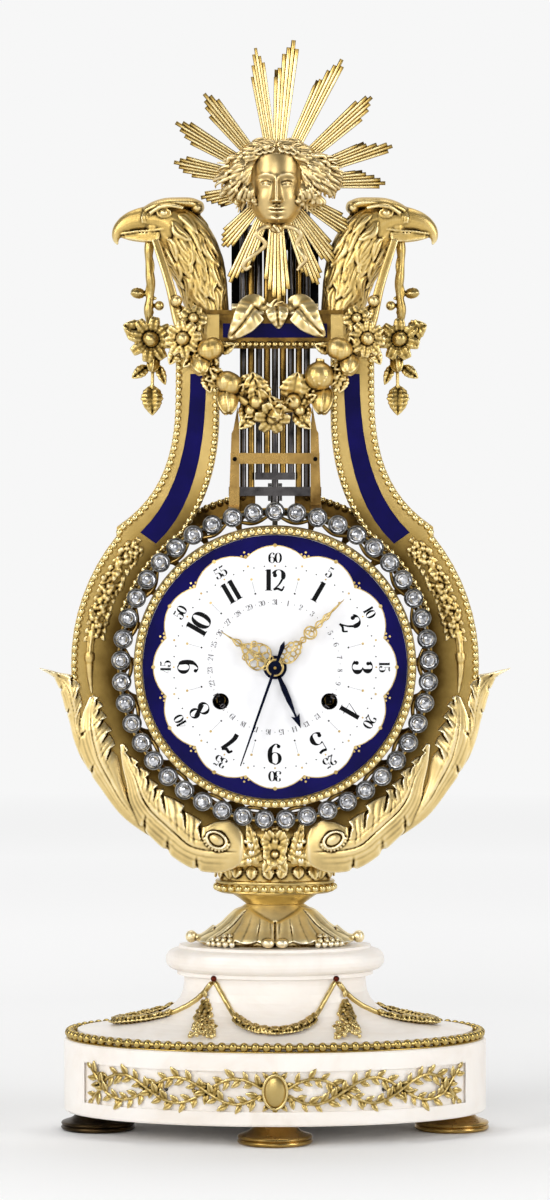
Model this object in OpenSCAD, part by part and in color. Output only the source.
// Lyre mantel clock: gilt lyre with eagle heads and a sunburst, ring pendulum of brilliants
// hung on a gridiron, enamel dial, oval marble base.
// Millimetres. Z is up, the dial faces -Y, the feet stand on Z = 0.

/* [Base] */
// Half width of the oval marble slab
slab_half_w = 118.5; // [108:0.5:130]
// Depth of the oval pieces as a share of their width
oval = 0.63; // [0.58:0.01:0.72]
// Height of the slab over its feet
slab_h = 40.5; // [36:0.5:50]
// Height of a foot
foot_h = 11.5; // [10:0.5:15]
// Radius of a foot's disc
foot_r = 21; // [17:0.5:23]
// Radius of a foot's neck
foot_neck_r = 9.6; // [7:0.2:12]
// Depth of the frieze panel cut into the slab
panel_depth = 1.6; // [1:0.1:2.4]
// Height of the frieze panel
panel_h = 22.4; // [18:0.2:28]
// Half width of the frieze panel
panel_half_w = 106; // [98:0.5:107]
// Inset of the bead moulding from the slab's edge
bead_inset = 0.4; // [0.2:0.1:1]
// Diameter of the beads round the slab
slab_bead_d = 5.2; // [4:0.1:6]
// Height of the plinth over the slab
plinth_h = 52.5; // [48:0.5:60]
// Half width of the plinth's drum
drum_half_w = 51; // [46:0.5:56]

/* [Stem] */
// Height of the acanthus foot
stem_h = 23; // [20:0.5:28]
// Half width of the acanthus foot at the bottom
stem_half_w = 47; // [40:0.5:50]
// Half width of the acanthus foot at the top
stem_top_w = 17; // [14:0.5:20]
// Height of the collar, its bead ring included
collar_h = 13.5; // [11:0.5:17]
// Half width of the collar's bead ring
collar_half_w = 35; // [32:0.5:40]
// Height of the socle under the lyre
socle_h = 10.5; // [8:0.5:14]
// Half width of the socle
socle_half_w = 31; // [27:0.5:33]

/* [Lyre] */
// Outer radius of the lyre's round body
lyre_r_out = 113.6; // [111:0.2:117]
// Inner radius of the lyre's round body
lyre_r_in = 88; // [86:0.2:91]
// Half width of the neck outside
neck_out = 55.1; // [52:0.2:58]
// Half width of the neck opening
neck_in = 31; // [30:0.2:33]
// Thickness of the lyre, front to back
lyre_t = 24; // [18:0.5:28]
// Height of the neck's top over the dial centre
neck_top_h = 177.7; // [172:0.5:184]
// Depth of the enamel's bed
enamel_bed = 2.2; // [1.2:0.1:3.5]
// Diameter of the beads along the lyre
lyre_bead_d = 3.6; // [3:0.1:4]
// Height of the crossbar
crossbar_h = 19; // [16:0.5:22]

/* [Dial] */
// Outer radius of the bezel
bezel_r = 78.4; // [77:0.1:79]
// Depth of the bezel
bezel_t = 8.5; // [7.5:0.1:10]
// Width of the bezel's beaded rim
bezel_rim = 5.2; // [4.4:0.1:6]
// Thickness of the enamel dial at its edge
dial_t = 1.8; // [1.4:0.1:2.4]
// Rise of the dial's dome
dial_dome = 1.8; // [1:0.1:2.2]
// Radius of a winding hole
wind_hole_r = 4.2; // [3.6:0.1:4.8]
// Side offset of the winding holes
wind_x = 30; // [29:0.1:31]
// Drop of the winding holes under the dial centre
wind_drop = 18.9; // [18:0.1:20]
// Length of the hour hand
hour_len = 36; // [30:0.5:40]
// Length of the minute hand
minute_len = 54; // [48:0.5:60]
// Length of the seconds hand
second_len = 57.5; // [50:0.5:62]
// Length of the date hand
date_len = 36.3; // [32:0.5:40]

/* [Pendulum] */
// Radius of the ring on which the stones sit
stone_ring_r = 85.5; // [85:0.1:86.5]
// Diameter of a stone
stone_d = 10; // [8.6:0.1:10.6]
// Number of stones
stone_n = 45; // [40:1:45]
// Width of the flat ring behind the stones
ring_w = 12; // [10:0.2:13]
// Height of the swing axis over the dial centre
pivot_h = 270; // [268:0.5:273]
// Spacing of the gridiron rods
rod_pitch = 4.45; // [4.2:0.05:4.6]
// Diameter of a steel rod
steel_rod_d = 3.7; // [2.6:0.1:3.9]
// Diameter of a brass rod
brass_rod_d = 3.8; // [2.8:0.1:4]
// Width of a fork strap
strap_w = 6; // [5:0.2:6.6]

/* [Movement] */
// Outer radius of the movement drum
case_r = 62; // [60.5:0.1:63]
// Wall of the movement drum
case_wall = 2; // [1.5:0.1:2.4]
// Thickness of the movement plates
plate_t = 2.5; // [2:0.1:3]
// Radius of the openings in the plate behind the movement
gallery_hole_r = 8.6; // [6:0.1:9]
// Number of those openings
gallery_n = 24; // [18:1:24]
// Tooth module of the going train
module_t = 0.5; // [0.48:0.005:0.51]
// Radius of a barrel
barrel_r = 19; // [16:0.2:19.4]
// Radius of the bell
bell_r = 32; // [28:0.5:34]

/* [Ornament] */
// Height of the sun's centre over the crossbar's top
sun_rise = 69.9; // [68:0.1:74]
// Radius of the disc that the rays grow from
sun_disc_r = 28; // [24:0.5:30]
// Thickness of the sun's rays
ray_t = 3; // [2.4:0.1:4]
// Height of the reed along each ray
reed_t = 0.9; // [0.5:0.1:1.4]
// Width of a ray where its steps begin
ray_w = 13.2; // [11:0.2:14]
// Length of the longest ray
ray_len = 81; // [74:0.5:84]
// Height of the mask with its hair and ribbon
mask_h = 58; // [52:0.5:64]
// Height of an eagle's head over the lyre's neck
eagle_h = 82; // [76:0.5:88]
// Half width of an eagle's neck
eagle_neck_w = 12; // [11:0.2:13]
// Half thickness of an eagle's head
eagle_t = 11; // [9:0.2:12]
// Thickness of the acanthus relief on the lyre
leaf_t = 6; // [4.5:0.1:6.5]
// Half thickness of the flower garland
garland_r = 5; // [4:0.2:5.6]

/* [Fits] */
// Radial play of a turning arbor
run_fit = 0.05; // [0.03:0.01:0.08]
// Radial play of a fixed pin or disc in its seat
seat_fit = 0.03; // [0.02:0.01:0.05]
// Radius of the pins that hold the ornament
pin_r = 1.2; // [1:0.1:1.5]
// Radius of the tie rod through the base
tie_r = 3; // [2.5:0.1:3.5]

/* [Hidden] */
$fn = 48;
tiny = 0.01;

gilt = [0.82, 0.62, 0.25];
dull_gilt = [0.7, 0.5, 0.2];
brass = [0.75, 0.62, 0.3];
steel = [0.5, 0.5, 0.52];
blued = [0.12, 0.16, 0.3];
marble = [0.88, 0.85, 0.78];
enamel_blue = [0.1, 0.12, 0.4];
enamel_white = [0.95, 0.94, 0.9];
paste = [0.85, 0.88, 0.9];

// heights of the stack, each on the one below
slab_top = foot_h + slab_h;
slab_half_d = slab_half_w * oval;
panel_z = foot_h + (slab_h - panel_h) / 2 - 1;
bead_strip = 1.4;
bead_play = 0.3;
plinth_half_w = slab_half_w - bead_inset - slab_bead_d / 2 - (slab_bead_d / 2 + bead_play) / oval;
plinth_top = slab_top + plinth_h;
stem_top = plinth_top + stem_h;
collar_top = stem_top + collar_h;
socle_top = collar_top + socle_h;
lyre_seat = 2.2;
axis_z = socle_top + lyre_r_out - lyre_seat;
neck_top = axis_z + neck_top_h;
post_w = 7;
crossbar_z = neck_top - 2;
crossbar_top = crossbar_z + crossbar_h;
lintel_h = 2.4;
crest_top = crossbar_top + lintel_h;
pivot_z = axis_z + pivot_h;
bar_a_z = axis_z + 93.5;
bar_c_z = bar_a_z + 9;
top_bar_z = pivot_z - 19.5;
bar_b_z = top_bar_z - 10;
bar_d_z = bar_b_z - 8;
outer_x = 4 * rod_pitch;
strap_x = outer_x + steel_rod_d / 2 + 0.2;
foot_x = slab_half_w - foot_r + 1.9;
foot_y = slab_half_d - foot_r + 3;
foot_places = [[foot_x, 0], [-foot_x, 0], [0, foot_y], [0, -foot_y]];
foot_pin_h = 8;
nut_well = 10;
frieze_pin_len = 7;
frieze_pins = [-panel_half_w * 0.566, 0, panel_half_w * 0.566];
swag_pin_y = -drum_half_w * oval * 0.3;
garland_pin_x = neck_out - 9;
garland_pin_z = neck_top - 6;

// depths, front to back
lyre_front = -20;
lyre_back = lyre_front + lyre_t;
bar_depth = 11;
ring_gap = 8;
ring_back = lyre_front - ring_gap;
ring_plate_t = 1.5;
cup_h = 3.5;
cup_front = ring_back - ring_plate_t - cup_h;
stone_h = 3;
stone_front = cup_front - stone_h;
bezel_back = stone_front - 3;
bezel_front = bezel_back - bezel_t;
ledge_t = 5;
dial_back = bezel_back - ledge_t;
dial_front = dial_back - dial_t - dial_dome;
rod_y = -4;
bar_t = 5.5;
bar_back = rod_y + 2.5;
bar_front = bar_back - bar_t;
strap_t = 2.5;
gallery_t = 3;
case_back = 16;
front_plate_y = bezel_back + 11;
back_plate_y = case_back - 1.5 - plate_t;
ray_back = -14;
ray_front = ray_back - ray_t;
mask_back = ray_front - reed_t - 0.05;
minute_wheel_y = front_plate_y - 3;
centre_wheel_y = front_plate_y + plate_t + 2.5;
third_wheel_y = centre_wheel_y + 27;
escape_y = third_wheel_y + 4;
bell_y = back_plate_y + plate_t + 5.5;
crutch_y = back_plate_y + plate_t + 2;
fork_z = bar_a_z + 2.5;

// wheel train: teeth and places, measured from the dial centre
centre_n = 64;
third_pinion_n = 8;
third_n = 60;
second_pinion_n = 8;
centre_pinion_n = 10;
mid_n = 60;
mid_pinion_n = 10;
barrel_n = 80;
cannon_n = 12;
minute_n = 36;
minute_pinion_n = 10;
hour_n = 40;
escape_n = 60;
escape_r = 13;
third_d = module_t * (centre_n + third_pinion_n) / 2;
third_module = 2 * third_d / (third_n + second_pinion_n);
third_at = third_d * [cos(160), sin(160)];
mid_d = module_t * (centre_pinion_n + mid_n) / 2;
mid_barrel_d = module_t * (barrel_n + mid_pinion_n) / 2;
barrel_at = [wind_x, -wind_drop];
strike_at = [-wind_x, -wind_drop];
mid_at = meet([0, 0], mid_d, barrel_at, mid_barrel_d);
motion_d = module_t * (cannon_n + minute_n) / 2;
motion_module = 2 * motion_d / (hour_n + minute_pinion_n);
motion_at = [0, -motion_d];
pallet_at = [0, 24];
hammer_at = [38, 14];
bell_at = [0, -22];
arbor_r = 1;
second_r = 0.8;
tube_r = 1.6;
hour_pipe_r = 2.4;
date_pipe_r = 3.2;
wind_r = 2;
wind_square = 3.6;
pillar_r = 3;
pillar_d = case_r - 9;

// tooth phases, each worked out from the wheel it meets
centre_phase = 0;
third_pinion_phase = mesh_phase(centre_phase, centre_n, third_pinion_n, 160);
third_phase = 0;
second_pinion_phase = mesh_phase(third_phase, third_n, second_pinion_n, 340);
mid_angle = atan2(mid_at[1], mid_at[0]);
centre_pinion_phase = 0;
mid_phase = mesh_phase(centre_pinion_phase, centre_pinion_n, mid_n, mid_angle);
mid_to_barrel = barrel_at - mid_at;
mid_barrel_angle = atan2(mid_to_barrel[1], mid_to_barrel[0]);
mid_pinion_phase = 0;
barrel_phase = mesh_phase(mid_pinion_phase, mid_pinion_n, barrel_n, mid_barrel_angle);
cannon_phase = 0;
minute_phase = mesh_phase(cannon_phase, cannon_n, minute_n, -90);
minute_pinion_phase = 0;
hour_phase = mesh_phase(minute_pinion_phase, minute_pinion_n, hour_n, 90);

// hands at eight minutes past ten, clockwise from twelve
hour_angle = 303.8;
minute_angle = 45.3;
second_angle = 199.4;
date_angle = 157;
hand_t = 0.8;
hand_gap = 0.7;
date_hand_y = dial_front - 1.2 - hand_t;
hour_hand_y = date_hand_y - hand_gap - hand_t;
minute_hand_y = hour_hand_y - hand_gap - hand_t;
second_hand_y = minute_hand_y - hand_gap - hand_t;

// rays: angle clockwise from the top, share of the longest
rays = [[4, 1], [25.5, 0.97], [48.5, 0.91], [69.3, 0.85], [87, 0.76], [121, 0.54], [143, 0.68],
    [158.5, 0.77],
    [180, 0.76], [202, 0.75], [222, 0.58], [255.6, 0.53], [281, 0.73], [300.4, 0.81], [320.3, 0.8],
        [351, 0.945]];
sun_z = crest_top + sun_rise;

function bez(a, b, c, d, n) =
    [for (i = [0 : n]) let (t = i / n, u = 1 - t) u * u * u * a + 3 * u * u * t * b + 3 * u * t * t * c + t
        * t * t * d];
function arc(c, r, a0, a1, n) = [for (i = [0 : n]) let (a = a0 + (a1 - a0) * i / n)
    c + r * [cos(a), sin(a)]];
function lengths(p) =
    [for (i = 0, s = 0; i < len(p); s = s + (i + 1 < len(p) ? norm(p[i + 1] - p[i]) : 0), i = i + 1) s];
function spot(p, l, d) = [for (c = [0 : len(p[0]) - 1]) lookup(d, [for (i = [0 : len(p) - 1]) [l[i],
    p[i][c]]])];
function spaced(p, pitch, shift) =
    let (l = lengths(p), total = l[len(l) - 1], n = round(total / pitch))
    [for (k = [0 : n - 1]) spot(p, l, total * (k + shift) / n)];
function oval_path(w, n) = [for (i = [0 : n]) w * [cos(360 * i / n), oval * sin(360 * i / n)]];
function meet(a, ra, b, rb) =
    let (v = b - a, d = norm(v), s = (ra * ra - rb * rb + d * d)
        / (2 * d), h = sqrt(max(0, ra * ra - s * s)))
    a + s * v / d + h * [-v[1], v[0]] / d;
function mesh_phase(phase, n, other, angle) = angle + 180 - ((phase - angle) * n / 360 + 0.5) * 360 / other;
function on_oval(w, a) = w * [cos(a), oval * sin(a)];

// outline of the right half of the lyre, as X and Z
dial_c = [0, axis_z];
shoulder_a = 41;
join_a = 54;
shoulder = dial_c + (lyre_r_out + 3) * [cos(shoulder_a), sin(shoulder_a)];
inner_join = dial_c + lyre_r_in * [cos(join_a), sin(join_a)];
outer_neck = bez([neck_out, neck_top - 26], [neck_out, neck_top - 58], [neck_out + 6, shoulder[1] + 18],
    shoulder, 12);
inner_neck = bez(inner_join, [neck_in + 9, inner_join[1] + 16], [neck_in, neck_top - 70],
    [neck_in, neck_top - 38], 12);
low_a = -asin((lyre_r_out - lyre_seat) / lyre_r_out);
inner_edge = concat(arc(dial_c, lyre_r_in, -90, join_a, 24), [for (i = [1 : 12]) inner_neck[i]]);
outer_edge = concat(outer_neck, arc(dial_c, lyre_r_out, shoulder_a - 2, low_a, 24));
bead_in = lyre_bead_d / 2 + 0.2;
outer_beads = concat([[neck_out - bead_in, neck_top - 2]], [for (p = outer_neck) p + bead_in * [-0.8, -0.6]],
    arc(dial_c, lyre_r_out - bead_in, shoulder_a - 2, 4, 10));
inner_beads = concat(arc(dial_c, lyre_r_in + bead_in, 20, join_a, 8),
    [for (i = [1 : 12]) inner_neck[i] + [bead_in, 0]], [[neck_in + bead_in, neck_top - 2]]);
enamel_top = neck_top - 16;
enamel_edge = concat(
    [for (p = bez([neck_out - 8, enamel_top], [neck_out - 8, neck_top - 54],
        [neck_out - 1, shoulder[1] + 17],
        shoulder + [-13, -3], 10)) p],
    [for (p = bez(inner_join + [14.5, -4], [neck_in + 14.5, inner_join[1] + 15],
        [neck_in + 7.2, neck_top - 60],
        [neck_in + 7.2, enamel_top], 10)) p]);

// side view of the plinth, as half width and height
cove = bez([plinth_half_w, slab_top + 5], [plinth_half_w - 37, slab_top + 8], [drum_half_w, slab_top + 14],
    [drum_half_w, slab_top + 32], 10);
function cove_z(w) = lookup(w, [for (i = [0 : 10]) [cove[10 - i][0], cove[10 - i][1]]]);
plinth_side = concat([[tie_r, slab_top], [plinth_half_w, slab_top]], cove,
    [[drum_half_w, plinth_top - 17], [drum_half_w + 4, plinth_top - 16.5],
        [drum_half_w + 4, plinth_top - 14.5]],
    arc([drum_half_w + 4.5, plinth_top - 8], 6, -80, 80, 8),
    [[drum_half_w + 3, plinth_top - 1.5], [drum_half_w + 3, plinth_top], [tie_r, plinth_top]]);
swag_x = drum_half_w * 2 / 3;
swag_z = plinth_top - 19;
cove_w = plinth_half_w - drum_half_w;
function panel_y(x) = -(slab_half_d - panel_depth) * sqrt(1 - pow(x / (slab_half_w - panel_depth), 2));
function frieze_pin_y(x) = panel_y(x) + frieze_pin_len;
function on_cove(x, w, lift) =
    [x, -oval * sqrt(max(0, w * w - x * x)) - lift * 0.6, cove_z(w) + lift * 0.9];

// small makers
module oval_turn() {
    scale([1, oval, 1]) rotate_extrude($fn = 96) children();
}
module face_y(front, depth) {
    translate([0, front + depth, 0]) rotate([90, 0, 0]) linear_extrude(depth) children();
}
module rod_y(at, front, back, r) {
    translate([at[0], front, at[1]]) rotate([-90, 0, 0]) cylinder(h = back - front, r = r);
}
module on_axis(at) {
    translate([at[0], 0, axis_z + at[1]]) children();
}
module turn_y() {
    rotate([-90, 0, 0]) rotate_extrude($fn = 96) children();
}
function side_of(path, i) = let (n = len(path) - 1, v = path[min(i + 1, n)] - path[max(i - 1, 0)])
    [-v[1], v[0]] / norm(v);
module strip(path, w) {
    n = len(path) - 1;
    polygon(concat([for (i = [0 : n]) path[i] + w / 2 * side_of(path, i)],
        [for (i = [0 : n]) path[n - i] - w / 2 * side_of(path, n - i)]));
}
module bar(a, b, w) {
    s = w / 2 * [-(b - a)[1], (b - a)[0]] / norm(b - a);
    polygon([a - s, b - s, b + s, a + s]);
}
module chain(rows, sides = 10) {
    for (i = [1 : len(rows) - 1]) hull() {
        lump(rows[i - 1], sides);
        lump(rows[i], sides);
    }
}
module lump(row, sides) {
    translate([row[0], row[1], row[2]]) scale([row[3], row[4], row[5]]) sphere(r = 1, $fn = sides);
}
// a pointed leaf along +X in the XZ plane
module blade(l, w, t) {
    polyhedron([[0, 0, 0], [l, 0, 0], [l * 0.4, 0, w / 2], [l * 0.4, 0, -w / 2], [l * 0.45, -t / 2, 0],
        [l * 0.45, t / 2, 0]],
        [[0, 2, 4], [2, 1, 4], [1, 3, 4], [3, 0, 4], [0, 5, 2], [2, 5, 1], [1, 5, 3], [3, 5, 0]]);
}
module gear(n, m, bore, phase) {
    difference() {
        rotate(phase) polygon([for (i = [0 : n - 1], q = [0 : 3]) let (p = 360 / n, r = m * n / 2)
            q == 0 ? (r - 0.55 * m * 2) * [cos((i - 0.36) * p), sin((i - 0.36) * p)]
            : q == 1 ? (r + 0.4 * m * 2) * [cos((i - 0.13) * p), sin((i - 0.13) * p)]
            : q == 2 ? (r + 0.4 * m * 2) * [cos((i + 0.13) * p), sin((i + 0.13) * p)]
            : (r - 0.55 * m * 2) * [cos((i + 0.36) * p), sin((i + 0.36) * p)]]);
        circle(r = bore);
    }
}
module wheel(n, m, bore, phase, front, t) {
    face_y(front, t) difference() {
        gear(n, m, bore, phase);
        if (n > 30) for (k = [0 : 4]) rotate(72 * k + 36) translate([m * n * 0.3, 0])
            circle(r = m * n * 0.11);
    }
}
module tube_y(front, back, r, bore) {
    translate([0, front, 0]) rotate([-90, 0, 0]) difference() {
        cylinder(h = back - front, r = r);
        translate([0, 0, -1]) cylinder(h = back - front + 2, r = bore);
    }
}
module hand_at(angle, front) {
    on_axis([0, 0]) rotate([0, angle, 0]) face_y(front, hand_t) children();
}

// base
module feet() {
    color(gilt) for (p = foot_places) translate([p[0], p[1], 0])
        rotate_extrude() polygon([[0, 0], [foot_r - 1, 0], [foot_r, 1.2], [foot_r, 3], [foot_r - 1.4, 4],
            [foot_r - 1.4, 5.2],
            [foot_r - 0.4, 6], [foot_r - 0.4, 7.6], [foot_r - 2, 8.8], [foot_neck_r, 8.8],
                [foot_neck_r, foot_h],
            [tie_r, foot_h], [tie_r, foot_h + foot_pin_h], [0, foot_h + foot_pin_h]]);
}
module base_slab() {
    color(marble) difference() {
        oval_turn() polygon([[0, foot_h], [slab_half_w - 1, foot_h], [slab_half_w, foot_h + 1],
            [slab_half_w, slab_top - 1],
            [slab_half_w - 1, slab_top], [0, slab_top]]);
        difference() {
            translate([-panel_half_w, -slab_half_w, panel_z]) cube([2 * panel_half_w, slab_half_w, panel_h]);
            translate([0, 0, panel_z - 1]) scale([slab_half_w - panel_depth, slab_half_d - panel_depth, 1])
                cylinder(h = panel_h + 2, r = 1, $fn = 96);
        }
        translate([0, 0, foot_h - 1]) cylinder(h = slab_h + 2, r = tie_r + seat_fit);
        translate([0, 0, foot_h - 1]) cylinder(h = nut_well + 1, r = tie_r * 3);
        for (p = foot_places) translate([p[0], p[1], foot_h - 1])
            cylinder(h = foot_pin_h + 1.5, r = tie_r + seat_fit);
        for (x = frieze_pins) rod_y([x, panel_z + panel_h / 2],
            -slab_half_w, frieze_pin_y(x) + seat_fit, pin_r + seat_fit);
    }
}
module base_bead_moulding() {
    edge = slab_half_w - bead_inset;
    color(gilt) {
        difference() {
            translate([0, 0, slab_top]) scale([edge, edge * oval, 1])
                cylinder(h = bead_strip, r = 1, $fn = 96);
            translate([0, 0, slab_top - 1]) scale([plinth_half_w + bead_play, (plinth_half_w + bead_play)
                * oval, 1])
                cylinder(h = bead_strip + 2, r = 1, $fn = 96);
        }
        for (p = spaced(oval_path(edge - slab_bead_d / 2, 120), slab_bead_d * 1.19, 0))
            translate([p[0], p[1], slab_top + bead_strip + slab_bead_d * 0.36])
                sphere(d = slab_bead_d, $fn = 24);
    }
}
// interlaced laurel sprays with a plain oval shield between them
module frieze_mount() {
    mid = panel_z + panel_h / 2;
    rise = panel_h / 2 - 4;
    color(gilt) {
        for (s = [-1, 1], k = [-1, 1]) {
            path = [for (i = [0 : 12]) let (x = s * (14 + (panel_half_w - 22) * i / 12))
                [x, panel_y(x) - 1.4, mid + k * rise * sin(i * 90)]];
            for (i = [1 : 12]) hull() {
                translate(path[i - 1]) cube(1.3, center = true);
                translate(path[i]) cube(1.3, center = true);
            }
            for (i = [1 : 2 : 11]) translate(path[i]) rotate([0, 0, -path[i][0] * 0.33])
                rotate([0, (i % 4 - 2) * 48 + (s > 0 ? 0 : 180), 0]) blade(8, 3.6, 2.2);
        }
        for (x = frieze_pins) rod_y([x, mid], panel_y(x) - 2.2, frieze_pin_y(x), pin_r);
        translate([0, panel_y(0) - 1.6, mid]) rotate([90, 0, 0]) scale([9, 10.4, 1.4])
            sphere(r = 1, $fn = 12);
    }
}
module plinth() {
    color(marble) difference() {
        oval_turn() polygon([for (p = plinth_side) p[0] == tie_r ? [0, p[1]] : p]);
        translate([0, 0, slab_top - 1]) cylinder(h = plinth_h + 2, r = tie_r + seat_fit);
        for (x = [-swag_x, swag_x]) rod_y([x, swag_z], -slab_half_d, swag_pin_y, pin_r + seat_fit);
    }
}
// festoons on the plinth, with a bunch of grapes under each pin
module plinth_swags() {
    front_y = -oval * sqrt(drum_half_w * drum_half_w - swag_x * swag_x);
    color(gilt) difference() {
        union() {
            for (s = [-1, 1]) {
                rod_y([s * swag_x, swag_z], front_y - 5, swag_pin_y - seat_fit, pin_r);
                start = [s * swag_x, front_y - 2.6, swag_z];
                low = [for (i = [0 : 6])
                    on_cove(s * (swag_x - 1) * (1 - i / 6), drum_half_w + cove_w * (0.12 + 0.45 * sqrt(i /
                        6)), 2.2)];
                path = concat([start], low);
                chain([for (i = [0 : 7]) concat(path[i], (1.6 + 2.2 * i / 7) * [1, 1, 0.8])], 6);
                far = [for (i = [0 : 5])
                    on_cove(s * (swag_x + 4 + cove_w * 0.192 * i),
                        drum_half_w + cove_w * (0.15 + 0.144 * i), 2)];
                side = concat([start], far);
                chain([for (i = [0 : 6]) concat(side[i], (3 - 1.6 * i / 6) * [1, 1, 0.8])], 6);
                for (i = [3 : 2 : 7]) translate(path[i]) rotate([0, s * (20 + 25 * i), 0]) blade(9, 5, 2.4);
                for (i = [3 : 6]) translate(side[i]) rotate([0, s > 0 ? 30 : 150, s * 20])
                    blade(9, 4.6, 2.4);
                drop = [for (i = [0 : 4]) on_cove(s * (swag_x + 1 + i * 0.5),
                    drum_half_w + cove_w * (0.1 + 0.11 * i), 3)];
                chain([for (i = [0 : 4]) concat(drop[i], [2.4, 4, 4.6, 4, 1.6][i] * [1, 0.8, 1])], 6);
            }
        }
        scale([1, oval, 1]) rotate_extrude($fn = 72)
            polygon([for (p = plinth_side) p[0] == tie_r ? [0, p[1]] : p + [0.3, 0.12]]);
    }
}
module tie_rod() {
    color(steel) {
        translate([0, 0, foot_h + 6]) cylinder(h = socle_top - foot_h - 7, r = tie_r);
        difference() {
            translate([0, 0, foot_h + 5]) cylinder(h = 5, r = tie_r * 2, $fn = 6);
            translate([0, 0, foot_h + 4]) cylinder(h = 7, r = tie_r);
        }
    }
}
module foot_leaves() {
    n = 8;
    color(gilt) difference() {
        union() {
            scale([1, oval, 1]) rotate_extrude($fn = 28) polygon(concat([[0, plinth_top],
                [stem_half_w - 4, plinth_top]],
                bez([stem_half_w - 4, plinth_top + 3], [stem_half_w - 14, plinth_top + 13],
                    [stem_top_w + 2, plinth_top + 9],
                    [stem_top_w, stem_top], 8), [[0, stem_top]]));
            for (k = [0 : n - 1]) {
                a = 360 * (k + 0.5) / n;
                chain([for (q = [[stem_top_w - 1, stem_h - 3, 3], [stem_top_w + 8, stem_h - 8, 4.4],
                    [stem_half_w - 14, 8.5, 6], [stem_half_w - 3, 5, 4.6]])
                    let (p = on_oval(q[0], a)) [p[0], p[1], plinth_top + q[1], q[2], q[2], q[2] * 0.8]], 6);
            }
        }
        translate([0, 0, plinth_top - 20]) cube([200, 200, 40], center = true);
        translate([0, 0, stem_top + 10]) cube([200, 200, 20], center = true);
        translate([0, 0, plinth_top - 1]) cylinder(h = stem_h + 2, r = tie_r + 0.1, $fn = 32);
    }
}
module foot_collar() {
    ring_z = stem_top + collar_h - 4;
    color(gilt) difference() {
        union() {
            oval_turn() polygon([[0, stem_top], [stem_top_w - 0.5, stem_top],
                [collar_half_w - 10, ring_z - 4],
                [collar_half_w - 3, ring_z - 1.6], [collar_half_w - 2.6, collar_top - 1],
                    [collar_half_w - 5, collar_top],
                [0, collar_top]]);
            for (p = spaced(oval_path(collar_half_w - 2.1, 90), 4.9, 0)) translate([p[0], p[1],
                ring_z + 0.8])
                sphere(d = 4.2, $fn = 20);
        }
        translate([0, 0, stem_top - 1]) cylinder(h = collar_h + 2, r = tie_r + seat_fit);
    }
}
module socle() {
    color(gilt) difference() {
        oval_turn() polygon([[0, collar_top], [socle_half_w, collar_top], [socle_half_w, collar_top + 3],
            [socle_half_w - 1.6, collar_top + 4], [socle_half_w - 1.6, socle_top - 2],
                [socle_half_w, socle_top - 1],
            [socle_half_w, socle_top], [0, socle_top]]);
        translate([0, 0, collar_top - 1]) cylinder(h = socle_h + 0.5, r = tie_r + seat_fit);
    }
}

// lyre
module arm_outline() {
    polygon(concat(inner_edge, [[neck_in, crossbar_top], [neck_in + post_w, crossbar_top],
        [neck_in + post_w, neck_top],
        [neck_out, neck_top]], outer_edge, [[0, socle_top]]));
}
module lyre_arm() {
    color(gilt) difference() {
        face_y(lyre_front, lyre_t) arm_outline();
        face_y(lyre_front - 1, enamel_bed + 1) polygon(enamel_edge);
        rod_y([garland_pin_x, garland_pin_z], lyre_front - 1, lyre_front + 8, pin_r + seat_fit);
    }
}
module lyre_arm_right() {
    lyre_arm();
}
module lyre_arm_left() {
    mirror([1, 0, 0]) lyre_arm();
}
module enamel_panels() {
    color(enamel_blue) {
        for (s = [0, 1]) mirror([s, 0, 0]) face_y(lyre_front + 0.2, enamel_bed - 0.2)
            offset(delta = -0.08) polygon(enamel_edge);
        face_y(lyre_front + 0.2, enamel_bed - 0.2) translate([-neck_in + 2.1, crossbar_z + 6.1])
            square([2 * neck_in - 4.2, 7.8]);
    }
}
module lyre_beads() {
    color(gilt) for (s = [0, 1], path = [outer_beads, inner_beads]) mirror([s, 0, 0]) {
        face_y(lyre_front - 1.2, 1.2) strip(path, 2.6);
        for (p = spaced(path, lyre_bead_d * 1.3, 0.5)) translate([p[0], lyre_front - lyre_bead_d / 2, p[1]])
            sphere(d = lyre_bead_d, $fn = 20);
    }
}
module crossbar() {
    color(gilt) difference() {
        union() {
            face_y(lyre_front, bar_depth) translate([-neck_in, crossbar_z])
                square([2 * neck_in, crossbar_h]);
            face_y(lyre_front - 2, bar_depth + 2) translate([-neck_in - post_w, crossbar_top])
                square([2 * (neck_in + post_w), lintel_h]);
            face_y(lyre_front - 1, 1 + tiny) translate([-neck_in + 2.4, crossbar_z + 0.6])
                square([2 * neck_in - 4.8, 3.6]);
            for (i = [0 : 11]) translate([-neck_in + 4.2 + i * (2 * neck_in - 8.4)
                / 11, lyre_front - 2, crossbar_z + 2.4])
                sphere(d = lyre_bead_d, $fn = 20);
        }
        face_y(lyre_front - 1, enamel_bed + 1) translate([-neck_in + 2, crossbar_z + 6])
            square([2 * neck_in - 4, 8]);
    }
}
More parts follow.
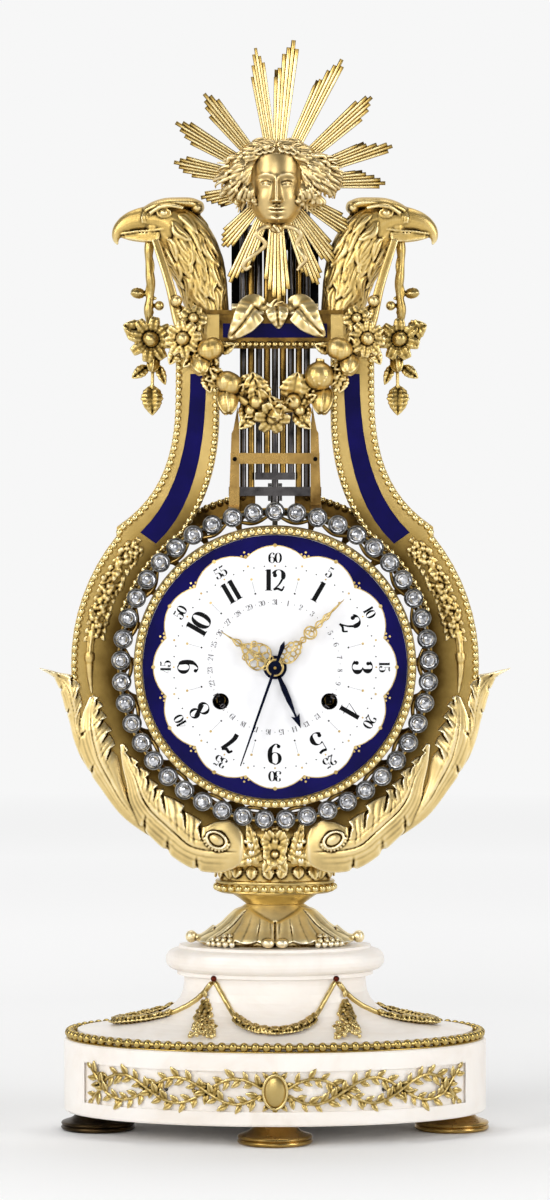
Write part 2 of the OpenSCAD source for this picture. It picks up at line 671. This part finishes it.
// leaves lying over the crossbar, one at the middle and one each side
module cresting_leaves() {
    front = lyre_front - 2;
    leaf_drop = crossbar_h - 4.5;
    color(gilt) difference() {
        for (s = [[0, 12], [-1, leaf_drop], [1, leaf_drop]]) {
            x = s[0] * 0.65 * neck_in;
            out = s[0] * 6;
            chain([[x * 0.3, front + 1.5, crest_top + 8, 3, 2.5, 2],
                [x * 0.6, front + 2, crest_top + 4, 5, 4, 3],
                [x, front - 2, crest_top - 3, 6, 3, 4], [x + out * 0.6, front - 2.5,
                    crest_top - s[1] * 0.6, 5, 2.4, 4],
                [x + out, front - 1.8, crest_top - s[1], 1.4, 1.4, 2]], 6);
            for (k = [0 : 2], u = [-1, 1]) translate([x + u * 3, front - 2, crest_top - 2 - k * 4])
                rotate([0, u > 0 ? 40 : 140, 0]) blade(8 - k, 4, 3);
        }
        translate([-60, front, crossbar_z - 30]) cube([120, 40, crest_top - crossbar_z + 30]);
    }
}
// big leaves round the lower lyre, curling out at the tip
module acanthus_right() {
    root_a = -84;
    tip_a = -1;
    root_drop = 5;
    mid_r = lyre_r_out - 9;
    color(gilt) difference() {
        union() {
            chain([for (i = [0 : 9]) let (a = root_a + (tip_a - root_a)
                * i / 9, r = mid_r + (i > 7 ? (i - 7) * 6 : 0),
                w = [6, 10, 12, 13, 13, 12.5, 11.5, 10, 8, 5][i])
                [r * cos(a), lyre_front - 1, axis_z + r * sin(a), w, leaf_t - (i > 7 ? 1 : 0), w]], 10);
            chain([[mid_r + 13, lyre_front - 3, axis_z - 6, 5, 4, 5],
                [mid_r + 20, lyre_front - 3, axis_z - 3, 4, 4, 4],
                [mid_r + 24, lyre_front - 3, axis_z - 3, 3, 3.4, 3]], 8);
            for (k = [-1 : 6]) {
                a = root_a + 18 + k * 11;
                tip_r = lyre_r_out + (k < 0 ? 4 : 4.5 - abs(k - 3) * 0.6);
                chain([for (q = [[mid_r + 2, 0, 5], [mid_r + 9, 5, 4.6], [tip_r, 9, 3]])
                    [q[0] * cos(a + q[1]), lyre_front - 2, axis_z + q[0] * sin(a + q[1]), q[2],
                        leaf_t - 1.5, q[2]]], 7);
            }
        }
        translate([-200, lyre_front, axis_z - 200]) cube([400, 60, 400]);
        translate([-60, -100, socle_top - 40]) cube([120, 200, 40 - root_drop]);
        translate([-100, -100, axis_z - 200]) cube([107.7, 200, 300]);
        face_y(-100, 200) translate(dial_c) circle(r = lyre_r_in + 2.2, $fn = 90);
        translate([lyre_r_out - 12, -100, axis_z + 3]) cube([60, 200, 60]);
    }
}
module acanthus_left() {
    mirror([1, 0, 0]) acanthus_right();
}
// drops of berries on the lyre's shoulders, largest in the middle
module berry_drops() {
    r_mid = (lyre_r_in + lyre_r_out) / 2 + 1;
    color(gilt) for (s = [0, 1]) mirror([s, 0, 0]) {
        face_y(lyre_front - 1.2, 1.2) strip(arc(dial_c, r_mid, 42, 8, 14), 5);
        for (i = [0 : 10]) {
            a = 40 - i * 3;
            d = [2.6, 3.2, 3.8, 4.4, 4.6, 4.6, 4.6, 4.4, 4, 3.6, 3][i];
            for (u = [-1, 1]) translate([(r_mid + u * (d / 2 + 0.2))
                * cos(a), lyre_front - d * 0.5, axis_z + (r_mid + u * (d / 2 + 0.2)) * sin(a)])
                sphere(d = d, $fn = 20);
        }
    }
}
// palmette with berries on the lyre's foot
module foot_palmette() {
    z0 = socle_top + 1;
    color(gilt) difference() {
        union() {
            for (k = [-2 : 2]) chain([[k * 2.2, lyre_front - 1, z0 + 2, 2.4, 3, 2.4],
                [k * 3.6, lyre_front - 2.5, z0 + 9 - abs(k) * 1.2, 2.8, 3, 3],
                [k * 4.6, lyre_front - 2.6, z0 + 16 - abs(k) * 2.6, 2, 2.4, 2.4]], 6);
        }
        translate([-60, lyre_front, z0 - 40]) cube([120, 60, 100]);
        translate([-60, -60, z0 - 21]) cube([120, 100, 20]);
        for (s = [0, 1]) mirror([s, 0, 0]) translate([7.4, -60, z0 - 20]) cube([30, 100, 60]);
    }
}
// eagle's head, drawn in eightyseconds of its height from the lyre's outer edge
module eagle_head() {
    y = lyre_front + eagle_t;
    t = eagle_t;
    k = eagle_h / 82;
    w = eagle_neck_w / k;
    d = t / k;
    color(gilt) difference() {
        translate([neck_out, y, neck_top]) scale(k) union() {
            chain([[-8.6, 0, 3, 8, d - 1, 5], [-10.6, 0, 15, w - 1, d, 7], [-14.6, 0, 29, w, d, 8],
                [-13.6, 0, 40, w + 0.6, d, 8], [-9.6, 0, 51, w + 1, d, 8], [-4.1, 0, 61, w + 1.5, d, 9],
                [2.9, 0, 68.5, w, d, 11]], 12);
            chain([[2.9, 0, 68.5, w, d, 11], [12.9, 0, 69, 9, d - 2, 9.5], [21.9, 0, 68, 7, d - 4.6, 8],
                [29.9, 0, 66.5, 4.5, 4.5, 6], [33.5, 0, 63, 2.4, 3, 4], [32.8, 0, 58, 1.1, 1.5, 1.6]], 12);
            chain([[8.9, 0, 60, 5, d - 4, 3.5], [20.9, 0, 58.6, 5, 4.6, 2.2],
                [28.4, 0, 59.4, 2, 3, 1.4]], 8);
            chain([[5.9, 0, 78, 7, d - 2.6, 3.4], [-4.1, 0, 79, 6, d - 3.6, 3.2],
                [-10.6, 0, 78, 3, 5, 2.6]], 8);
        }
        translate([0, y - 2 * t, neck_top - 40]) cube([3 * neck_out, 4 * t, 40]);
        translate([0, y - 2 * t, neck_top - 10]) cube([neck_in + post_w + 0.3, 4 * t,
            crest_top - neck_top + 10.3]);
        translate([neck_out + 6.9 * k, y - 2 * t, neck_top + 50 * k]) cube([10 * k, 4 * t, 6.4 * k]);
    }
}
module eagle_head_right() {
    eagle_head();
}
module eagle_head_left() {
    mirror([1, 0, 0]) eagle_head();
}
// a round flower facing the front
module blossom(at, r) {
    for (k = [0 : 4]) translate(at) rotate([0, 72 * k, 0]) blade(r, r * 0.95, r * 0.9);
    translate(at - [0, r * 0.25, 0]) sphere(r = r * 0.36, $fn = 6);
}
// garland of fruit and flowers between the two eagles
module garland_swag() {
    g = garland_r;
    front = lyre_front - lyre_bead_d - 0.3;
    y = front - 0.1 - g;
    strap_r = 0.28 * g;
    half = [[neck_out + 12.3, 0.701 * eagle_h, strap_r], [neck_out + 5.9, 0.463 * eagle_h, strap_r],
        [neck_out - 1.1, 0.195 * eagle_h, 0.36 * g], [neck_out - 6.1, 4, g], [neck_out - 15.1, -5, g * 0.9],
        [neck_in, -17, g], [0.65 * neck_in, -27, g * 0.9], [0.29 * neck_in, -32, g], [0, -33, g * 1.1]];
    flower_x = half[3][0];
    color(gilt) difference() {
        union() for (s = [-1, 1]) {
            chain([for (i = [0 : 8]) let (q = half[i], deep = i < 3 ? (2 - i) * 6 : 0)
                [s * q[0], y + deep, neck_top + q[1], q[2], q[2], q[2]]], 6);
            for (i = [3, 5, 7]) blossom([s * half[i][0], y - 2, neck_top + half[i][1]],
                i == 3 ? 2.2 * g : 1.6 * g);
            for (i = [3 : 7]) translate([s * half[i][0], y, neck_top + half[i][1]])
                rotate([0, s * 25 + (i % 2 * 2 - 1) * 80 + 14 * i, 0]) blade(2.6 * g, 1.3 * g, 0.6 * g);
            rod_y([s * garland_pin_x, garland_pin_z], y, lyre_front + 7.5, pin_r);
        }
        for (s = [-1, 1]) difference() {
            translate([s * flower_x - 4 * g, front, neck_top - 8 * g]) cube([8 * g, 40, 12.8 * g]);
            rod_y([s * garland_pin_x, garland_pin_z], front - 1, front + 60, pin_r + 0.5);
        }
    }
}
module garland_drops() {
    y = lyre_front + eagle_t;
    x = neck_out + 15.4;
    z = neck_top;
    g = garland_r;
    under = neck_top + 0.688 * eagle_h;
    color(gilt) for (s = [-1, 1]) difference() {
        union() {
            chain([[s * (x - 3.5), y - 1, under + 0.6, 2, 2, 2], [s * (x - 1), y, z + 34, 1, 1, 1],
                [s * x, y, z + 18, 0.4 * g, 0.4 * g, 0.4 * g], [s * x, y, z + 8, 0.8 * g, 0.8 * g, 0.8 * g],
                [s * (x + 1), y, z - 6, 0.92 * g, 0.92 * g, g],
                    [s * x, y, z - 18, 0.48 * g, 0.48 * g, 0.6 * g],
                [s * (x - 1.5), y, z - 34, 0.8, 0.8, 1.4]], 6);
            blossom([s * (x + 1), y - 3, z + 7], 1.9 * g);
            for (k = [0 : 3], u = [40, 140]) translate([s * x, y, z + 20 - k * 13]) rotate([0, u, 0])
                blade(2 * g, 1.08 * g, 0.6 * g);
            translate([s * x, y, z - 24]) rotate([0, 80, 0]) blade(2.8 * g, 1.2 * g, 0.48 * g);
        }
        translate([-2 * neck_out, y - 60, under]) cube([4 * neck_out, 120, 20]);
    }
}

// sun over the lyre, each ray widening to a stepped tip
module ray_outline(l) {
    w = ray_w / 2;
    polygon([[-0.55 * w, 8], [0.55 * w, 8], [w, l - 11], [0.79 * w, l - 7.4], [0.64 * w, l - 7],
        [0.42 * w, l - 3.4],
        [0.24 * w, l - 3], [0, l], [-0.24 * w, l - 3], [-0.42 * w, l - 3.4], [-0.64 * w, l - 7],
        [-0.79 * w, l - 7.4], [-w, l - 11]]);
}
module reed_outline(l) {
    polygon([[-0.8, sun_disc_r - 1], [0.8, sun_disc_r - 1], [1.2, l - 7], [0, l - 2], [-1.2, l - 7]]);
}
module sun_rays() {
    color(gilt) translate([0, 0, sun_z]) {
        face_y(ray_front, ray_t) {
            circle(r = sun_disc_r);
            for (r = rays) rotate(-r[0]) ray_outline(ray_len * r[1]);
        }
        face_y(ray_front - reed_t, reed_t + tiny) {
            circle(r = sun_disc_r);
            for (r = rays) rotate(-r[0]) reed_outline(ray_len * r[1]);
        }
    }
}
// calm mask with waving hair and a knotted ribbon, drawn in fiftyeighths of its height
module sun_mask() {
    k = mask_h / 58;
    color(gilt) translate([0, mask_back, sun_z - 3 * k]) difference() {
        scale(k) union() {
            chain([[0, -5, 6, 13.5, 9, 13], [0, -7, -5, 11.5, 8, 11], [0, -8, -14, 6, 6, 5]], 12);
            chain([[0, -14.6, 4, 1.6, 1.6, 2], [0, -16.6, -4, 2.4, 2, 1.8]], 8);
            for (s = [-1, 1]) {
                chain([[0, -10, 20, 6, 5, 5], [s * 11, -9, 20, 7, 6, 6], [s * 20, -5, 12, 6, 5, 7],
                    [s * 23, -4, 0, 6, 5, 8], [s * 25, -4, -11, 6, 4, 5], [s * 31, -3, -15, 4, 3, 4]], 7);
                chain([[s * 6, -4, 24, 6, 4, 6], [s * 16, -3, 27, 6, 3, 5], [s * 26, -3, 22, 5, 3, 5],
                    [s * 31, -3, 12, 4, 3, 5]], 7);
                chain([[s * 3, -8, -20, 4, 4, 3], [s * 11, -6, -21, 5, 4, 4],
                    [s * 17, -4, -24, 3, 3, 3]], 8);
            }
        }
        translate([-mask_h, 0, -mask_h]) cube(2 * mask_h);
    }
}
module sun_bracket() {
    color(brass) translate([-4, ray_back, crest_top]) {
        cube([8, 3, sun_z - crest_top]);
        cube([8, 4.5, 3]);
    }
}

// support of the pendulum
module rear_rail() {
    color(brass) face_y(lyre_back, 6) translate([-45, crossbar_z]) square([90, 0.8 * crossbar_h]);
}
module suspension_cock() {
    color(brass) {
        face_y(lyre_back + 6, 4) translate([-5, crossbar_z + 2]) square([10, pivot_z - crossbar_z + 4]);
        face_y(bar_back + 2.5, lyre_back + 6 - bar_back - 2.5 + tiny) translate([-5, pivot_z - 6])
            square([10, 12]);
        rod_y([0, pivot_z], bar_front - 1, lyre_back + 8, 1.5);
        rod_y([0, pivot_z], bar_front - 2.5, bar_front - 1, 3);
    }
}

// movement
module movement_gallery() {
    color(dull_gilt) difference() {
        union() {
            face_y(lyre_back, gallery_t) difference() {
                translate(dial_c) circle(r = lyre_r_in + 8, $fn = 96);
                translate(dial_c) circle(r = case_r + seat_fit, $fn = 96);
                for (k = [0 : gallery_n - 1]) translate(dial_c) rotate(360 * (k + 0.5) / gallery_n)
                    translate([(case_r + lyre_r_in) / 2 + 1.5, 0]) circle(r = gallery_hole_r);
            }
            for (s = [-1, 1], k = [0 : 5]) {
                a = 90 + s * (11 + k * 2.7);
                translate([(lyre_r_in + 6) * cos(a), lyre_back - 1, axis_z + (lyre_r_in + 6) * sin(a)])
                    sphere(d = lyre_bead_d, $fn = 20);
            }
        }
        face_y(lyre_back - 5, 20) translate([-11, axis_z + case_r + 8]) square([22, 60]);
    }
}
module movement_drum() {
    color(brass) on_axis([0, 0]) difference() {
        rod_y([0, 0], bezel_back, case_back, case_r);
        rod_y([0, 0], bezel_back - 1, case_back + 1, case_r - case_wall);
    }
}
module front_plate() {
    color(brass) on_axis([0, 0]) {
        difference() {
            rod_y([0, 0], front_plate_y, front_plate_y + plate_t, case_r - case_wall - seat_fit);
            rod_y([0, 0], front_plate_y - 1, front_plate_y + plate_t + 1, tube_r + run_fit);
            for (p = [third_at, mid_at, pallet_at]) rod_y(p, front_plate_y - 1,
                front_plate_y + plate_t + 1, arbor_r + run_fit);
            for (p = [barrel_at, strike_at]) rod_y(p, front_plate_y - 1, front_plate_y + plate_t + 1,
                wind_r + run_fit);
        }
        for (a = [45, 135, -70, -110]) rod_y(pillar_d * [cos(a), sin(a)],
            front_plate_y + plate_t - tiny, back_plate_y, pillar_r);
        rod_y(motion_at, minute_wheel_y - 6.2, front_plate_y + tiny, arbor_r);
    }
}
module back_plate() {
    color(brass) on_axis([0, 0]) difference() {
        rod_y([0, 0], back_plate_y, back_plate_y + plate_t, case_r - case_wall - seat_fit);
        rod_y([0, 0], back_plate_y - 1, back_plate_y + plate_t + 1, second_r + run_fit);
        for (p = [third_at, mid_at, pallet_at, hammer_at]) rod_y(p, back_plate_y - 1,
            back_plate_y + plate_t + 1, arbor_r + run_fit);
        for (p = [barrel_at, strike_at]) rod_y(p, back_plate_y - 1, back_plate_y + plate_t + 1,
            wind_r + run_fit);
    }
}
module bell() {
    color(dull_gilt) on_axis(bell_at) {
        turn_y() polygon(concat([[2.4, bell_y + 16], [2.4, bell_y + 14]],
            [for (p = bez([bell_r * 0.5, bell_y + 14], [bell_r * 0.85, bell_y + 13],
                [bell_r - 3, bell_y + 8], [bell_r - 2, bell_y], 6)) p],
            [for (p = bez([bell_r, bell_y], [bell_r - 1, bell_y + 9], [bell_r * 0.86, bell_y + 15.4],
                [bell_r * 0.5, bell_y + 16], 6)) p]));
        tube_y(bell_y + 16, bell_y + 18.5, 4, 2.4 - seat_fit);
        rod_y([0, 0], back_plate_y + plate_t, bell_y + 14, 3.4);
        rod_y([0, 0], bell_y + 14 - tiny, bell_y + 18.5, 2.4 - seat_fit);
    }
}
module barrel(phase) {
    wheel_y = front_plate_y + plate_t + 12.5;
    difference() {
        union() {
            face_y(wheel_y, 2) gear(barrel_n, module_t, wind_r + run_fit, phase);
            rod_y([0, 0], wheel_y + 2 - tiny, wheel_y + 15, barrel_r);
        }
        rod_y([0, 0], wheel_y - 1, wheel_y + 20, wind_r + run_fit);
        difference() {
            rod_y([0, 0], wheel_y + 3.5, wheel_y + 13.5, barrel_r - 1.5);
            rod_y([0, 0], wheel_y, wheel_y + 16, wind_r + 2);
        }
    }
}
module going_barrel() {
    color(brass) on_axis(barrel_at) barrel(barrel_phase);
}
module strike_barrel() {
    color(brass) on_axis(strike_at) barrel(0);
}
module winding_arbor() {
    end = front_plate_y - 1;
    rod_y([0, 0], end, back_plate_y + plate_t, wind_r);
    face_y(dial_back + 1, end - dial_back - 1 + tiny) square(wind_square, center = true);
    rod_y([0, 0], front_plate_y + plate_t + 2, front_plate_y + plate_t + 4, wind_r + 1.6);
}
module going_arbor() {
    color(steel) on_axis(barrel_at) winding_arbor();
}
module strike_arbor() {
    color(steel) on_axis(strike_at) winding_arbor();
}
module centre_wheel() {
    color(brass) on_axis([0, 0]) {
        tube_y(minute_hand_y - 0.3, centre_wheel_y + 24, tube_r, second_r + run_fit);
        wheel(centre_n, module_t, tube_r - tiny, centre_phase, centre_wheel_y, 1.2);
        wheel(centre_pinion_n, module_t, tube_r - tiny, centre_pinion_phase, centre_wheel_y + 4, 3.2);
        wheel(cannon_n, module_t, tube_r - tiny, cannon_phase, minute_wheel_y - 0.4, 2);
    }
}
module mid_wheel() {
    color(brass) on_axis(mid_at) {
        rod_y([0, 0], front_plate_y, back_plate_y + plate_t, arbor_r);
        wheel(mid_n, module_t, arbor_r - tiny, mid_phase, centre_wheel_y + 5, 1.2);
        wheel(mid_pinion_n, module_t, arbor_r - tiny, mid_pinion_phase, front_plate_y + plate_t + 11.5, 4);
    }
}
module third_wheel() {
    color(brass) on_axis(third_at) {
        rod_y([0, 0], front_plate_y, back_plate_y + plate_t, arbor_r);
        wheel(third_pinion_n, module_t, arbor_r - tiny, third_pinion_phase, centre_wheel_y - 1, 3.2);
        wheel(third_n, third_module, arbor_r - tiny, third_phase, third_wheel_y, 1.2);
    }
}
module escape_wheel() {
    color(brass) on_axis([0, 0]) {
        rod_y([0, 0], second_hand_y - 0.3, back_plate_y + plate_t, second_r);
        wheel(second_pinion_n, third_module, second_r - tiny, second_pinion_phase, third_wheel_y - 1, 3.2);
        face_y(escape_y, 1.2) difference() {
            polygon([for (i = [0 : escape_n - 1], q = [0, 1]) let (a = 360 * i / escape_n + q * 5.2)
                (q == 0 ? escape_r : escape_r - 1.6) * [cos(a), sin(a)]]);
            circle(r = second_r - tiny);
            for (k = [0 : 4]) rotate(72 * k) translate([7, 0]) circle(r = 2.6);
        }
    }
}
module pallets_crutch() {
    reach = fork_z - axis_z - pallet_at[1];
    color(steel) on_axis(pallet_at) {
        rod_y([0, 0], front_plate_y, crutch_y + 2.5, arbor_r);
        face_y(escape_y - 0.4, 2) difference() {
            union() {
                circle(r = 2.6);
                bar([0, 0], [9.6, -8], 2.4);
                bar([0, 0], [-9.6, -8], 2.4);
                bar([9.2, -7.4], [9.4, -11], 1.6);
                bar([-9.2, -7.4], [-9.4, -11], 1.6);
            }
            circle(r = arbor_r - tiny);
        }
        face_y(crutch_y, 2) difference() {
            union() {
                circle(r = 3.4);
                bar([0, 0], [0, reach - 4], 3);
                translate([-4, reach - 6]) square([8, 10]);
            }
            circle(r = arbor_r - tiny);
            translate([-1.4, reach - 3]) square([2.8, 20]);
        }
    }
}
module minute_wheel() {
    color(brass) on_axis(motion_at) {
        wheel(minute_n, module_t, arbor_r + run_fit, minute_phase, minute_wheel_y, 1.2);
        wheel(minute_pinion_n, motion_module, arbor_r + run_fit, minute_pinion_phase,
            minute_wheel_y - 5.2, 5.2 + tiny);
    }
}
module hour_wheel() {
    color(brass) on_axis([0, 0]) {
        tube_y(hour_hand_y - 0.3, minute_wheel_y - 3.4, hour_pipe_r, tube_r + run_fit);
        wheel(hour_n, motion_module, hour_pipe_r - tiny, hour_phase, minute_wheel_y - 4.6, 1.2);
    }
}
module date_wheel() {
    front = bezel_back - 1;
    color(brass) on_axis([0, 0]) {
        tube_y(date_hand_y - 0.3, front + 1, date_pipe_r, hour_pipe_r + run_fit);
        face_y(front, 1) difference() {
            polygon([for (i = [0 : 30], q = [0, 1]) (q == 0 ? 14 : 12) * [cos((i + q * 0.8)
                * 360 / 31), sin((i + q * 0.8) * 360 / 31)]]);
            circle(r = date_pipe_r - tiny);
        }
    }
}
module hammer() {
    front = back_plate_y + plate_t + 1;
    head = bell_at + (bell_r + 8) * [cos(20), sin(20)] - hammer_at;
    color(steel) on_axis(hammer_at) {
        rod_y([0, 0], back_plate_y, front + 9, arbor_r);
        face_y(front + 6, 2) difference() {
            union() {
                circle(r = 3);
                bar([0, 0], head, 2);
            }
            circle(r = arbor_r - tiny);
        }
        rod_y(head, front + 5, front + 9, 4);
    }
}

// dial and hands
module bezel() {
    inner = bezel_r - bezel_rim;
    rim_bead = bezel_rim * 0.75;
    n = round(2 * PI * (bezel_r - bezel_rim / 2) / (rim_bead * 1.07));
    color(gilt) on_axis([0, 0]) {
        turn_y() polygon([[case_r - 4, bezel_back], [bezel_r - 0.6, bezel_back],
            [bezel_r, bezel_back - 1], [bezel_r, bezel_front + 1],
            [bezel_r - 0.8, bezel_front], [inner + 0.8, bezel_front], [inner, bezel_front + 0.8],
                [inner, dial_back],
            [inner - 4, dial_back], [inner - 4, bezel_back - 2], [case_r - 4, bezel_back - 2]]);
        for (i = [0 : n - 1]) rotate([0, 360 * i / n, 0]) translate([0, bezel_front - rim_bead * 0.18,
            bezel_r - bezel_rim / 2])
            sphere(d = rim_bead, $fn = 20);
    }
}
module dial() {
    r = bezel_r - bezel_rim - 0.15;
    color(enamel_white) on_axis([0, 0]) difference() {
        turn_y() polygon(concat([[0, dial_back], [r, dial_back]],
            [for (i = [0 : 8]) [r * (1 - i / 8), dial_back - dial_t - dial_dome * (1 - pow(1 - i / 8,
                2))]]));
        rod_y([0, 0], dial_front - 1, dial_back + 1, date_pipe_r + 0.4);
        for (p = [barrel_at, strike_at]) rod_y(p, dial_front - 1, dial_back + 1, wind_hole_r);
    }
}
module hour_hand() {
    color(gilt) hand_at(hour_angle, hour_hand_y) difference() {
        union() {
            circle(r = 4.6);
            polygon([[-1.2, 0], [1.2, 0], [1, hour_len * 0.55], [0.7, hour_len - 6], [2.6, hour_len - 5],
                [0, hour_len], [-2.6, hour_len - 5],
                [-0.7, hour_len - 6], [-1, hour_len * 0.55]]);
            translate([0, hour_len * 0.36]) circle(r = 3.4);
            translate([0, hour_len * 0.6]) circle(r = 3.8);
        }
        circle(r = hour_pipe_r + 0.02);
        translate([0, hour_len * 0.36]) circle(r = 2);
        translate([0, hour_len * 0.6]) circle(r = 2.4);
    }
}
module minute_hand() {
    color(gilt) hand_at(minute_angle, minute_hand_y) difference() {
        union() {
            circle(r = 4);
            polygon([[-1.1, 0], [1.1, 0], [0.9, minute_len * 0.6], [0.6, minute_len - 6],
                [2, minute_len - 5], [0, minute_len],
                [-2, minute_len - 5], [-0.6, minute_len - 6], [-0.9, minute_len * 0.6]]);
            translate([0, minute_len * 0.3]) circle(r = 3);
            translate([0, minute_len * 0.6]) circle(r = 3.2);
        }
        circle(r = tube_r + 0.02);
        translate([0, minute_len * 0.3]) circle(r = 1.7);
        translate([0, minute_len * 0.6]) circle(r = 1.9);
    }
}
module second_hand() {
    color(blued) hand_at(second_angle, second_hand_y) difference() {
        union() {
            circle(r = 2.6);
            polygon([[-0.7, -14], [0.7, -14], [0.7, 0], [0.25, second_len], [-0.25, second_len], [-0.7, 0]]);
            translate([0, -14]) circle(r = 2);
        }
        circle(r = second_r + 0.02);
    }
}
module date_hand() {
    color(blued) hand_at(date_angle, date_hand_y) difference() {
        union() {
            circle(r = 6.2);
            polygon([[-0.8, 0], [0.8, 0], [0.6, date_len - 7], [2.4, date_len - 8], [0, date_len],
                [-2.4, date_len - 8], [-0.6, date_len - 7]]);
        }
        circle(r = date_pipe_r + 0.02);
    }
}

// pendulum
module pendulum_hanger() {
    color(steel) difference() {
        face_y(bar_front + 0.5, bar_t - 1) union() {
            translate([-5, top_bar_z + 6]) square([10, pivot_z - top_bar_z - 6]);
            translate([0, pivot_z]) circle(r = 5);
        }
        rod_y([0, pivot_z], bar_front - 5, bar_back + 5, 1.5 + run_fit);
    }
}
module rod_up(x, z0, z1, d) {
    translate([x, rod_y, z0]) cylinder(h = z1 - z0, d = d);
}
module gridiron_steel() {
    color(steel) {
        face_y(bar_front, bar_t) {
            translate([-outer_x - steel_rod_d / 2, top_bar_z]) square([2 * outer_x + steel_rod_d, 6]);
            translate([-strap_x - strap_w, bar_a_z]) square([2 * (strap_x + strap_w), 5]);
            translate([-2.5 * rod_pitch, bar_c_z]) square([5 * rod_pitch, 4]);
            translate([-3.4 * rod_pitch, bar_b_z]) square([6.8 * rod_pitch, 4]);
            translate([-1.42 * rod_pitch, bar_d_z]) square([2.84 * rod_pitch, 4]);
        }
        for (s = [-1, 1]) {
            rod_up(s * outer_x, bar_a_z + 5 - tiny, top_bar_z + tiny, steel_rod_d);
            rod_up(s * 2 * rod_pitch, bar_c_z + 4 - tiny, bar_b_z + tiny, steel_rod_d);
        }
        rod_up(0, bar_c_z - 5, bar_d_z + tiny, steel_rod_d);
        rod_up(0, bar_a_z - 14, bar_a_z + tiny, steel_rod_d + 1.2);
        translate([0, rod_y, bar_a_z - 12]) cylinder(h = 3, r = 3.6);
        rod_y([0, fork_z], bar_back - tiny, crutch_y + 4, 1.2);
    }
}
module gridiron_brass() {
    color(brass) for (s = [-1, 1]) {
        rod_up(s * 3 * rod_pitch, bar_a_z + 5, bar_b_z, brass_rod_d);
        rod_up(s * rod_pitch, bar_c_z + 4, bar_d_z, brass_rod_d);
    }
}
module bob_fork() {
    front = bar_front - strap_t;
    low = bar_a_z - 6;
    tab_z = axis_z + stone_ring_r - 7.5;
    color(brass) {
        for (s = [0, 1]) mirror([s, 0, 0]) {
            face_y(front, strap_t) polygon([[strap_x, low], [strap_x + strap_w, low],
                [strap_x + strap_w - 1.6, bar_a_z + 35],
                [strap_x + 3.4, bar_a_z + 37], [strap_x + 1, bar_a_z + 50], [strap_x, bar_a_z + 37]]);
            translate([strap_x, 0, 0]) rotate([90, 0, 90]) linear_extrude(strap_w)
                polygon([[front, low + 1], [bar_front, low + 1],
                [bar_front, low - 2.6], [ring_back + 2.2, tab_z + 5], [ring_back + 2.2, tab_z],
                    [ring_back, tab_z], [ring_back, tab_z + 9],
                [ring_back + 1, tab_z + 9]]);
        }
        face_y(front - 1.8, 1.8 + tiny) translate([-strap_x - strap_w + 1, bar_a_z + 18])
            square([2 * (strap_x + strap_w - 1), 6]);
        for (s = [-1, 1]) rod_y([s * (strap_x + strap_w / 2 - 0.5), bar_a_z + 21],
            front - 2.8, front - 1.8 + tiny, 1.9);
        rod_y([0, bar_a_z + 21], front - 3.6, front - 1.8 + tiny, 2.4);
    }
}
module bob_ring() {
    color(steel) on_axis([0, 0]) {
        difference() {
            rod_y([0, 0], ring_back - ring_plate_t, ring_back, stone_ring_r + ring_w / 2);
            rod_y([0, 0], ring_back - ring_plate_t - 1, ring_back + 1, stone_ring_r - ring_w / 2);
        }
        for (i = [0 : stone_n - 1]) rotate([0, 360 * i / stone_n, 0]) translate([0, 0, stone_ring_r])
            rod_y([0, 0], cup_front, ring_back - ring_plate_t + tiny, stone_d / 2 + 0.3);
    }
}
module brilliants() {
    color(paste) on_axis([0, 0]) for (i = [0 : stone_n - 1]) rotate([0, 360 * i / stone_n, 0])
        translate([0, cup_front, stone_ring_r])
        rotate([90, 0, 0]) {
            cylinder(h = 1, d = stone_d, $fn = 24);
            translate([0, 0, 1 - tiny]) cylinder(h = stone_h - 1 + tiny, d1 = stone_d,
                d2 = stone_d * 0.55, $fn = 24);
        }
}

feet();
base_slab();
base_bead_moulding();
frieze_mount();
plinth();
plinth_swags();
tie_rod();
foot_leaves();
foot_collar();
socle();
lyre_arm_right();
lyre_arm_left();
enamel_panels();
lyre_beads();
crossbar();
cresting_leaves();
acanthus_right();
acanthus_left();
berry_drops();
foot_palmette();
eagle_head_right();
eagle_head_left();
garland_swag();
garland_drops();
sun_rays();
sun_mask();
sun_bracket();
rear_rail();
suspension_cock();
movement_gallery();
movement_drum();
front_plate();
back_plate();
bell();
going_barrel();
strike_barrel();
going_arbor();
strike_arbor();
centre_wheel();
mid_wheel();
third_wheel();
escape_wheel();
pallets_crutch();
minute_wheel();
hour_wheel();
date_wheel();
hammer();
bezel();
dial();
hour_hand();
minute_hand();
second_hand();
date_hand();
pendulum_hanger();
gridiron_steel();
gridiron_brass();
bob_fork();
bob_ring();
brilliants();
